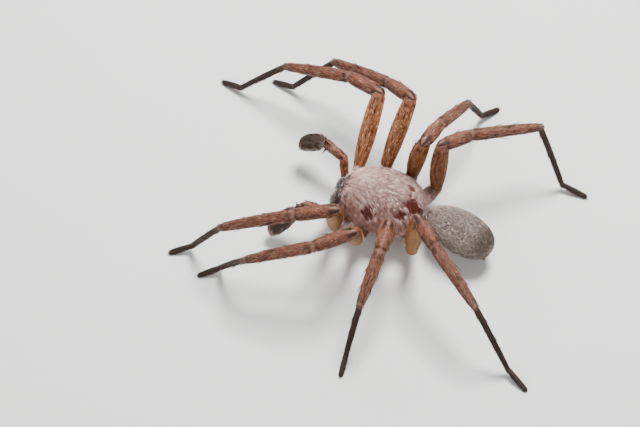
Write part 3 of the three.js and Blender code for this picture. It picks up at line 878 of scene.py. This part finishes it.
# %% Underside hair
def outward_down(points):
    """Away from the middle of the body, along the hips."""
    return np.stack([points[:, 0], 0.25 * points[:, 1], -0.15 * np.ones(len(points))], axis=-1)


def outside(points, normals):
    """On the upper side of the hips, from the shield's edge to a little past it."""
    plan = np.hypot(points[:, 0] / 3.45, points[:, 1] / 4.1)
    return (smooth_step(0.55, 0.8, plan) * (1 - smooth_step(1.15, 1.3, plan))
            * smooth_step(-0.2, 0.3, normals[:, 2]))


hip_hairs = [coat(surface, 380, 31 + i, outward_down, length=0.7, width=0.05, lean=0.4,
                  allowed=outside, locks=40) for i, surface in enumerate(hips)]
breast_hair = coat(breast, 1500, 29, steady((0, 1, 0)), length=0.6, width=0.045, lean=0.25,
                   allowed=lambda points, normals: (points[:, 2] < LEG_ROOT_Z) * 1.0)
under_hairs = stacked([*hip_hairs, breast_hair])
add_strands("underside_hair", together(under_hairs), pale_hair)
print("underside hairs:", sum(len(hairs["u"]) for hairs in under_hairs))

# %% [markdown]
# ## Legs
# A leg is one skin of five rounded parts. Attributes along it tell the finish where it is: zone
# runs from 0 at the root to 1 at the tip, thigh is 1 on the femur, joint is 1 at the ends of each
# part, and collar is 1 in the dark marks round the knee. A painted map could carry these marks,
# but the hair can read the same attributes, so it always matches the shell. The coat lies along
# the leg and is almost gone below the femur, where the photograph shows the bare orange-brown
# shell. Long black spines stand in rows.

# %% Leg skin
LEG_BOWS = (0.12, 0.02, 0.05, 0.06, 0.0)
LEG_GROOVES = (0.1, 0.14, 0.14, 0.06, 0.0)
LEG_CAPS = ((0.9, 0.3), (0.95, 0.6), (0.8, 0.7), (0.9, 0.8), (0.9, 0.9))


def leg_surfaces(word, number):
    """The five parts of one leg, from femur to tarsus."""
    joints = leg_joints(word, number)
    return [limb(joints[i], joints[i + 1], RADII[part], bow=LEG_BOWS[i], caps=LEG_CAPS[i],
                 groove=LEG_GROOVES[i]) for i, part in enumerate(SEGMENTS)]


def collar(surface, index, u, t):
    """Dark marks round the knee and the shin's joint: a band near the femur's far end, and one
    at both ends of the patella and of the tibia, which covers the knee itself. A band is e to
    minus the square of the distance from its middle, broken by a sine of five waves round."""
    from_end = np.minimum(t, 1 - t) * surface.length
    if index == 0:
        from_end = (1 - t) * surface.length - 0.45
    if index == 1:
        from_end = np.where(t < 0.5, np.maximum(from_end, 0.3), from_end)
    band = np.exp(-((from_end - 0.3) / 0.17) ** 2)
    broken = smooth_step(-0.4, 0.4, np.sin(2 * np.pi * 5 * u + 2.1 * index) + 0.35)
    return 0.95 * band * broken * (index < 3)


def leg_marks(surface, index, u, v):
    """The attributes of places u, v on one segment. down grows by only 0.09 for a millimetre, so
    that noise over around_x, around_y and down makes long streaks."""
    t = part_way(v)
    from_end = np.minimum(t, 1 - t) * surface.length
    return {"around_x": 0.5 * np.cos(2 * np.pi * u), "around_y": 0.5 * np.sin(2 * np.pi * u),
            "down": 0.09 * t * surface.length + index,
            "zone": (index + 0.02 + 0.96 * t) / len(SEGMENTS),
            "under": 0.5 - 0.5 * np.sin(2 * np.pi * u),
            "thigh": np.full(len(u), 1.0 if index == 0 else 0.0),
            "joint": np.exp(-(from_end / 0.16) ** 2) * (1.0 if index < 4 else 0.0),
            "collar": collar(surface, index, u, t)}


def leg_skin(word, number):
    """One skin for the four solids of a leg."""
    parts = [(surface, 28, 40, lambda u, v, surface=surface, i=i: leg_marks(surface, i, u, v))
             for i, surface in enumerate(leg_surfaces(word, number))]
    nodes = [f"leg_{word}_{number}_{part}"
             for part in ("femur", "patella_tibia", "metatarsus", "tarsus")]
    add_skin(f"leg_{word}_{number}_skin", parts, leg_shell, "leg_coat", *nodes)


print("leg parts:", len(SEGMENTS))

# %% Leg coat
LEG_HAIRS = (2500, 1150, 2100, 1500, 600)
LEG_HAIR_LENGTHS = (0.42, 0.4, 0.45, 0.5, 0.36)


def marked(hairs, marks):
    """Gives each point of a strand the marks of its root."""
    for key in ("zone", "around_x", "around_y", "down", "collar"):
        hairs["attributes"][key] = marks[key][hairs["owner"]]
    return hairs


def leg_coat(word, number):
    """Short hair along a leg, thin below the femur and none over the femur's far end."""
    coats = []
    for i, surface in enumerate(leg_surfaces(word, number)):
        def allowed(points, normals, surface=surface, femur=(i == 0)):
            up = normals @ surface.upper
            down = (points - surface.start) @ surface.along / surface.length
            clear = 1 - femur * smooth_step(0.93, 0.97, down)
            return clear * (1 - 0.93 * femur * (1 - smooth_step(-0.35, 0.25, up)))

        hairs = coat(surface, LEG_HAIRS[i], 100 * number + 10 * SIDES[word] + i,
                     steady(surface.along), length=LEG_HAIR_LENGTHS[i], width=0.034, lean=0.17,
                     allowed=allowed, locks=LEG_HAIRS[i] // 12, lock_pull=0.4, wobble=0.14,
                     curl=0.08, sink=0.015)
        hairs["points"][:, 2] = np.maximum(hairs["points"][:, 2], 0.01)
        coats.append(marked(hairs, leg_marks(surface, i, hairs["u"], hairs["v"])))
    whole = together(stacked(coats))
    add_strands(f"leg_{word}_{number}_coat", whole, leg_hair)
    return len(whole["u"])


print("hairs wanted on a leg:", sum(LEG_HAIRS))

# %% Spines
SPINE_LENGTHS = (0.9, 1.6)
SPINE_WIDTHS = (0.09, 0.12)
SPINE_LEANS = (10, 18)
FOOT_SPINE_SHARE = 0.85
# For each part by number: place along it, and angles round it in degrees, 90 being its top
SPINE_ROWS = {
    0: ((0.22, (60, 118)), (0.42, (88,)), (0.52, (45, 135)), (0.74, (70, 112))),
    1: ((0.5, (20, 160)),),
    2: ((0.08, (-60, -120)), (0.3, (15, 165)), (0.38, (-60, -120)), (0.62, (15, 165)),
        (0.68, (-65, -115)), (0.5, (90,))),
    3: ((0.08, (-55, -125)), (0.2, (10, 170)), (0.42, (-60, -120)), (0.5, (10, 170))),
}


def leg_spines(word, number):
    """Black spines in rows, each turned a little from the leg's own direction."""
    draw = np.random.default_rng(900 + 10 * number + SIDES[word])
    surfaces = leg_surfaces(word, number)
    places = [(i, t, angle) for i, rows in SPINE_ROWS.items() for t, turns in rows
              for angle in turns]
    roots, headings, normals = [], [], []
    for i, t, angle in places:
        surface = surfaces[i]
        v = CAP_SHARE + (t + draw.uniform(-0.03, 0.03)) * (1 - 2 * CAP_SHARE)
        u = (angle + draw.uniform(-8, 8)) / 360
        point, normal, _ = surface_frame(surface, np.array([u]), np.array([v]))
        lean = math.radians(draw.uniform(*SPINE_LEANS))
        roots.append(point[0] - 0.05 * normal[0])
        normals.append(normal[0])
        headings.append(surface.along * math.cos(lean) + normal[0] * math.sin(lean))
    roots, headings, normals = map(np.array, (roots, headings, normals))
    on_foot = np.array([i >= 3 for i, _, _ in places])
    lengths = draw.uniform(*SPINE_LENGTHS, len(roots)) * np.where(on_foot, FOOT_SPINE_SHARE, 1)
    widths = draw.uniform(*SPINE_WIDTHS, len(roots))
    points, triangles, each, reach, _ = strands(roots, unit(headings), normals, lengths, widths,
                                                sides=6, rings=4, curl=0.06, flat=1.0)
    points[:, 2] = np.maximum(points[:, 2], 0.02)
    tone = np.repeat(draw.uniform(0, 1, len(roots)), each)
    make_piece(f"leg_{word}_{number}_spines", points, triangles, spine_black,
               {"tone": tone, "reach": np.tile(reach, len(roots))})


print("spines on a leg:", sum(len(turns) for rows in SPINE_ROWS.values() for _, turns in rows))

# %% Foot pads
def foot_pad(word, number):
    """A brush of short dark hairs under the last two parts, on the first from past its start."""
    brushes = []
    for i, count, length, behind_middle in ((3, 500, 0.26, 1.0), (4, 750, 0.3, 9.0)):
        surface = leg_surfaces(word, number)[i]

        def below(points, normals, surface=surface, behind_middle=behind_middle):
            past_middle = (points - points.mean(0)) @ surface.along
            return (smooth_step(0.1, -0.35, normals @ surface.upper)
                    * (past_middle > -behind_middle))

        brush = coat(surface, count, 300 + 10 * number + i + SIDES[word],
                     steady(surface.along * 0.8 - surface.upper * 0.6), length=length,
                     width=0.04, lean=0.7, allowed=below)
        brush["v"] = (i + brush["v"]) / len(SEGMENTS)
        brushes.append(brush)
    pad = together(brushes)
    pad["points"][:, 2] = np.maximum(pad["points"][:, 2], 0.0)
    add_strands(f"leg_{word}_{number}_pads", pad, dark_hair)


print("parts with a brush:", SEGMENTS[3:])

# %% All eight legs
hair_count = 0
for word, number in LEG_POSES:
    leg_skin(word, number)
    hair_count += leg_coat(word, number)
    leg_spines(word, number)
    foot_pad(word, number)
print("leg hairs:", hair_count)

# %% [markdown]
# ## Face and eyes
# Eight small glossy eyes stand in two rows on the dark front of the head. Below them two stout
# jaws carry the fangs. The eyes are balls sunk halfway into the shell, because only their front
# can be seen. The jaws are limbs with larger radii and a few bristles. A fang is one thick strand
# that bends, which gives it its curve and its point at once.

# %% Eyes
# Place across, place along and radius, in millimetres
EYES = {
    "anterior_median": (0.42, -4.05, 0.2), "anterior_lateral": (1.25, -3.9, 0.22),
    "posterior_median": (0.5, -3.55, 0.16), "posterior_lateral": (1.5, -3.3, 0.17),
}


def carapace_uv(x, y):
    """The u and v of a place on the carapace, from the plan back through its section."""
    taper = (CARAPACE["shift"] - y) * 2 / CARAPACE["length"]
    v = math.acos(max(-1.0, min(1.0, taper))) / math.pi
    width = carapace_section(np.array([v]))[0][0] * (1 - COAT_DEPTH / CARAPACE["half_width"])
    return math.acos(max(-1.0, min(1.0, x / width))) / (2 * math.pi), v


for name, (x, y, radius) in EYES.items():
    for word, side in SIDES.items():
        u, v = carapace_uv(side * x, y)
        point, normal, _ = surface_frame(carapace, np.array([u]), np.array([v]))
        eye = ball(point[0] + normal[0] * radius * 0.05, radius)
        add_skin(f"eye_{name}_{word}_lens", [(eye, 32, 20)], eye_glass, "eye",
                 f"eye_{name}_{word}")
print("eyes:", 2 * len(EYES))

# %% Jaws and fangs
JAW_TOP = (0.9, -3.9, 3.3)
JAW_BOTTOM = (0.88, -4.55, 1.75)
JAW_RADII = (0.72, 0.78, 0.5)
FANG_TOP = (0.9, -4.6, 1.2)
FANG_TIP = (0.5, -4.35, 0.2)
for word, side in SIDES.items():
    mirror = np.array([side, 1, 1])
    jaw = limb(JAW_TOP * mirror, JAW_BOTTOM * mirror, JAW_RADII, depth=0.0)
    add_skin(f"chelicera_{word}_shell", [(jaw, 40, 32)], face_shell, "face_shell",
             f"chelicera_{word}")
    bristles = coat(jaw, 500, 51 + side, steady((0, -0.25, -1)), length=0.6, width=0.035,
                    lean=0.4)
    bristles["attributes"]["tone"] = bristles["attributes"]["tone"] * 0.9
    add_strands(f"chelicera_{word}_bristles", bristles, dark_hair)
    root = np.array([FANG_TOP * mirror])
    tip = np.array([FANG_TIP * mirror])
    out = np.array([[0.0, -1.0, 0.0]])
    points, triangles, _, reach, _ = strands(
        root, unit(tip - root), out, np.linalg.norm(tip - root, axis=1), np.array([0.46]),
        sides=16, rings=8, curl=0.12, flat=1.0)
    make_piece(f"fang_{word}_blade", points, triangles, face_shell,
               {"reach": reach}, replaces=(f"fang_{word}",))
print("jaws:", len(SIDES))

# %% [markdown]
# ## Abdomen
# The abdomen is a soft egg on a narrow stalk, turned a little to the spider's left. A stretched
# ball would give much the same form, but the formula also says where each hair is rooted. The
# coat is grey, dense and combed back in short locks with dark gaps, and darker at the tail. Four
# small spinnerets sit under its tip.

# %% Abdomen skin
def abdomen_point(local):
    """From the abdomen's own axes, y along it, to the body: droop round x, then turn round z."""
    x, y, z = local[..., 0], local[..., 1], local[..., 2]
    cos_d, sin_d = math.cos(ABDOMEN_DROOP), math.sin(ABDOMEN_DROOP)
    cos_t, sin_t = math.cos(ABDOMEN_TURN), math.sin(ABDOMEN_TURN)
    level = y * cos_d + z * sin_d
    height = z * cos_d - y * sin_d
    return ABDOMEN_FRONT + np.stack([x * cos_t + level * sin_t, level * cos_t - x * sin_t,
                                     height], axis=-1)


def abdomen(u, v):
    """An egg: half width, top and bottom follow the sine of pi v to the power 0.88, and are
    fuller behind by a tenth of its cosine."""
    taper = np.cos(np.pi * v)
    full = np.maximum(np.sin(np.pi * v), 0) ** 0.88 * (1 - 0.1 * taper)
    turn = 2 * np.pi * u
    lift = np.sin(turn)
    depth = 1.4 * COAT_DEPTH
    high = np.where(lift > 0, ABDOMEN["top"], ABDOMEN["bottom"]) - depth
    local = np.stack([(ABDOMEN["half_width"] - depth) * full * np.cos(turn),
                      ABDOMEN["length"] * (0.5 - 0.5 * taper * 0.975), high * full * lift], -1)
    return abdomen_point(local)


ABDOMEN_AXIS = unit(abdomen_point(np.array([0.0, 1.0, 0.0])) - ABDOMEN_FRONT)
stalk = limb((-0.1, 4.25, 2.55), abdomen_point(np.array([0.0, 1.2, 0.0])), (0.4, 0.4, 0.5))
add_skin("abdomen_skin", [(abdomen, 72, 56), (stalk, 24, 20)], abdomen_shell, "abdomen_coat",
         "abdomen")
print("abdomen's axis:", np.round(ABDOMEN_AXIS, 3))

# %% Abdomen coat
def abdomen_flow(points):
    """Straight back, and a little outward from the front end."""
    return ABDOMEN_AXIS + 0.05 * (points - ABDOMEN_FRONT)


hairs = coat(abdomen, 18500, 17, abdomen_flow, length=0.55, width=0.046, lean=0.17, locks=2200,
             lock_pull=0.6, wobble=0.22)
behind = (hairs["roots"] - ABDOMEN_FRONT) @ ABDOMEN_AXIS
tail = smooth_step(4.6, 5.8, behind) * (1 - smooth_step(6.4, 6.9, behind))
tail = tail * smooth_step(0.2, 0.6, hairs["normals"][:, 2])
hairs["attributes"]["tone"] = hairs["attributes"]["tone"] * (1 - 0.55 * tail[hairs["owner"]])
add_strands("abdomen_coat", hairs, abdomen_hair)
print("abdomen hairs:", len(hairs["u"]))

# %% Spinnerets
SPINNERET_PLACE = np.array([0.0, 6.1, -1.95])
tubes = []
for across in (-1, 1):
    for row in (0, 1):
        start = SPINNERET_PLACE + [across * 0.17, row * 0.3 - 0.1, row * 0.1 + 0.85]
        end = start + [across * 0.05, 0.4, -0.75]
        tube = limb(abdomen_point(start), abdomen_point(end), (0.26, 0.22, 0.12), depth=0.0)
        tubes.append((tube, 20, 18))
add_skin("spinnerets_skin", tubes, abdomen_shell, "abdomen_coat", "spinnerets")
print("spinnerets:", len(tubes))

# %% [markdown]
# ## Palps
# A male's palps end in a large hairy cup with a glossy bulb below it, like a boxing glove. Each
# palp is three short limbs, the cup, and the bulb with its coiled thread. Cup and bulb are eggs
# along one line. The cup's lower half has a height below zero, which hollows it, so the bulb sits
# in it without any cutting. The cup has the darkest hair, with a pale fringe at its rim and tip.

# %% Palp limbs
PALP_RADII = ((0.36, 0.46, 0.44), (0.44, 0.5, 0.46), (0.46, 0.52, 0.5))


def palp_frame(word):
    """Origin, length and axes of the cup: side, along, upper."""
    wrist, tip = palp_joints(word)[3:]
    length = np.linalg.norm(tip - wrist)
    along = (tip - wrist) / length
    side = unit(np.cross(along, [0.0, 0.0, 1.0]))
    return wrist, length, side, along, np.cross(side, along)


def palp_limb(word):
    """Three limbs finished as a leg is, with zones that stop before the dark foot."""
    joints = palp_joints(word)
    parts, coats = [], []
    for i, radii in enumerate(PALP_RADII):
        surface = limb(joints[i], joints[i + 1], radii, depth=0.05)
        parts.append((surface, 24, 28, lambda u, v, surface=surface, i=i: {
            **leg_marks(surface, i, u, v), "zone": 0.06 + 0.1 * i + 0.1 * part_way(v)}))
        hairs = coat(surface, 420, 71 + i, steady(surface.along), length=0.45, width=0.035,
                     lean=0.25, locks=50, curl=0.05)
        marks = leg_marks(surface, i, hairs["u"], hairs["v"])
        marks["zone"] = np.full(len(hairs["u"]), 0.1 + 0.15 * i)
        coats.append(marked(hairs, marks))
    add_skin(f"palp_{word}_skin", parts, leg_shell, "palp_shell", f"palp_{word}_limb")
    add_strands(f"palp_{word}_hair", together(stacked(coats)), leg_hair)


print("parts of a palp:", len(PALP_RADII))

# %% Palp hooks
HOOK_LENGTHS = (0.85, 0.7, 0.75, 0.7, 0.6)
HOOK_WIDTHS = (0.24, 0.17, 0.24, 0.12, 0.18)


def palp_hooks(word):
    """The dark hooks at the end of the palp's shin, and a few spines on its upper side."""
    wrist, _, side, _, upper = palp_frame(word)
    middle = palp_joints(word)[2]
    shin = unit(wrist - middle)
    outer = side * SIDES[word]
    roots = np.array([wrist - 0.25 * shin + 0.4 * upper, wrist - 0.55 * shin + 0.35 * upper,
                      wrist - 0.3 * shin + 0.42 * outer, middle + 0.2 * shin + 0.4 * upper,
                      wrist - 0.2 * shin + 0.3 * upper - 0.3 * outer])
    heading = unit(np.array([0.9 * upper - 0.3 * shin, 0.8 * upper, 0.9 * outer + 0.5 * shin,
                             0.7 * upper + 0.5 * shin, 0.8 * upper + 0.4 * shin]))
    points, triangles, _, reach, _ = strands(
        roots, heading, steady(shin)(roots), np.array(HOOK_LENGTHS), np.array(HOOK_WIDTHS),
        sides=7, rings=6, curl=0.4, flat=1.0)
    make_piece(f"palp_{word}_hooks", points, triangles, spine_black,
               {"tone": np.zeros(len(points)), "reach": np.tile(reach, len(roots))})


print("hooks and spines of a palp:", len(HOOK_LENGTHS))

# %% Palp cups
CUP = {"half_width": 1.05, "height": 1.1, "coat": 0.15}


def egg(word, half_width, top, bottom, share=(0.0, 1.0), power=0.75):
    """A closed egg along the cup's axis, between two shares of its length: half width, top and
    bottom each times the sine of pi v to a power."""
    wrist, length, side, along, upper = palp_frame(word)

    def surface(u, v):
        sine = np.maximum(np.sin(np.pi * v), 0) ** power
        turn = 2 * np.pi * u
        lift = np.sin(turn)
        place = length * (share[0] + (share[1] - share[0]) * (0.5 - 0.5 * np.cos(np.pi * v)))
        high = np.where(lift > 0, top, bottom) * sine * lift
        return (wrist + place[..., None] * along + (half_width * sine * np.cos(turn))[..., None]
                * side + high[..., None] * upper)

    return surface


def palp_cup(word):
    """The hairy cup, dark on top, with paler hair at its rim and tip."""
    wrist, length, _, along, upper = palp_frame(word)
    cup = egg(word, CUP["half_width"] - CUP["coat"], CUP["height"] - CUP["coat"], -0.2)
    add_skin(f"palp_{word}_cymbium_skin", [(cup, 48, 36)], cup_shell, "palp_shell",
             f"palp_{word}_cymbium")

    def above(points, normals):
        return smooth_step(-0.1, 0.05, (points - wrist) @ upper)

    hair = coat(cup, 4200, 81 + SIDES[word], steady(along), length=0.55, width=0.045, lean=0.22,
                locks=320, allowed=above, curl=0.1)
    rim_share = 1 - smooth_step(0.05, 0.5, (hair["roots"] - wrist) @ upper)
    tip_share = smooth_step(0.6, 0.95, (hair["roots"] - wrist) @ along / length)
    pale = np.maximum(rim_share, tip_share)
    hair["attributes"]["tone"] = 0.7 * hair["attributes"]["tone"] + 0.4 * pale[hair["owner"]]
    add_strands(f"palp_{word}_cymbium_hair", hair, cup_hair)


print("cup:", CUP)

# %% Palp bulbs, and both palps
THREAD_TURNS = 1.8
THREAD_RADIUS = 0.05


def palp_bulb(word):
    """A glossy drop under the cup, and the black thread that coils round it."""
    wrist, length, side, along, upper = palp_frame(word)
    drop = egg(word, 0.62, 0.1, 0.62, (0.14, 0.8), 1.0)

    def thread(u, v):
        """A thin tube round an ellipse in the plane of the cup. The ellipse shrinks and sinks in
        proportion to v, and the tube tapers in its first and last twelfth."""
        turn = 2 * np.pi * THREAD_TURNS * v
        size = 0.78 - 0.3 * v
        centre = (wrist + (length * 0.47 + length * 0.42 * size * np.cos(turn))[..., None] * along
                  + (0.9 * size * np.sin(turn))[..., None] * side
                  - (0.12 + 0.42 * v)[..., None] * upper)
        out = unit(centre - (wrist + length * 0.47 * along))
        ring = THREAD_RADIUS * np.minimum(1, 12 * np.minimum(v, 1 - v))
        return (centre + (ring * np.cos(2 * np.pi * u))[..., None] * out
                + (ring * np.sin(2 * np.pi * u))[..., None] * upper)

    add_skin(f"palp_{word}_bulb_shell", [(drop, 48, 36), (thread, 8, 90)], bulb_shell,
             "face_shell", f"palp_{word}_bulb")


for word in SIDES:
    palp_limb(word)
    palp_hooks(word)
    palp_cup(word)
    palp_bulb(word)
print("palps:", len(SIDES))

# %% [markdown]
# ## Floor, light and camera
# The photograph looks down at the spider from its left side through a long lens. The camera stands
# at the same angle, far off, so that near and far legs keep their sizes. A soft key lamp hangs
# high over the spider, a weaker one stands near the camera, a third lights the head from the far
# side, and a pale sky fills the shadows.

# %% Floor and lights
FLOOR_HALF = 0.6
floor_finish = Finish("floor", Roughness=0.8)
specks = 0.98 + floor_finish.noise(60.0) * 0.04
floor_mesh = bpy.data.meshes.new("floor")
floor_mesh.from_pydata([(x * FLOOR_HALF, y * FLOOR_HALF, 0)
                        for x, y in ((-1, -1), (1, -1), (1, 1), (-1, 1))], [], [(0, 1, 2, 3)])
floor_mesh.materials.append(
    floor_finish.set(Base_Color=floor_finish.shade((0.72, 0.72, 0.70), specks)))
floor = bpy.data.objects.new("floor", floor_mesh)
bpy.context.scene.collection.objects.link(floor)


def lamp(name, place, size, power):
    """A square soft lamp turned to the spider: place and size in millimetres, power in watts."""
    data = bpy.data.lights.new(name, "AREA")
    data.shape = "SQUARE"
    data.size = size * MM
    data.energy = power
    item = bpy.data.objects.new(name, data)
    item.location = Vector(place) * MM
    item.rotation_euler = (-item.location).to_track_quat("-Z", "Y").to_euler()
    bpy.context.scene.collection.objects.link(item)


lamp("key lamp", (-80, 10, 180), size=70, power=0.95)
lamp("front lamp", (170, -60, 120), size=120, power=0.22)
lamp("back lamp", (-120, -120, 110), size=90, power=0.15)
world = bpy.data.worlds.new("sky")
world.use_nodes = True
world.node_tree.nodes["Background"].inputs["Color"].default_value = (0.9, 0.94, 1.0, 1.0)
world.node_tree.nodes["Background"].inputs["Strength"].default_value = 0.38
bpy.context.scene.world = world
print("lamps:", len(bpy.data.lights))

# %% Camera
CAMERA_AZIMUTH = math.radians(109)
CAMERA_ELEVATION = math.radians(56)
CAMERA_DISTANCE = 300.0
PIXELS_PER_MM = 10.55
IMAGE_WIDTH = 640
SENSOR = 36.0
AIM = np.array([1.13, -5.96, 0.0])
outward = np.array([math.sin(CAMERA_AZIMUTH) * math.cos(CAMERA_ELEVATION),
                    -math.cos(CAMERA_AZIMUTH) * math.cos(CAMERA_ELEVATION),
                    math.sin(CAMERA_ELEVATION)])
right = np.array([math.cos(CAMERA_AZIMUTH), math.sin(CAMERA_AZIMUTH), 0.0])
above = np.cross(outward, right)
camera_data = bpy.data.cameras.new("camera")
camera_data.sensor_width = SENSOR
camera_data.lens = PIXELS_PER_MM * CAMERA_DISTANCE / IMAGE_WIDTH * SENSOR
camera_data.clip_start = 0.01
camera = bpy.data.objects.new("camera", camera_data)
place = metres(AIM + CAMERA_DISTANCE * outward)
camera.matrix_world = Matrix([[right[i], above[i], outward[i], place[i]] for i in range(3)]
                             + [[0, 0, 0, 1]])
bpy.context.scene.collection.objects.link(camera)
bpy.context.scene.camera = camera
print("lens:", round(camera_data.lens, 1), "mm")
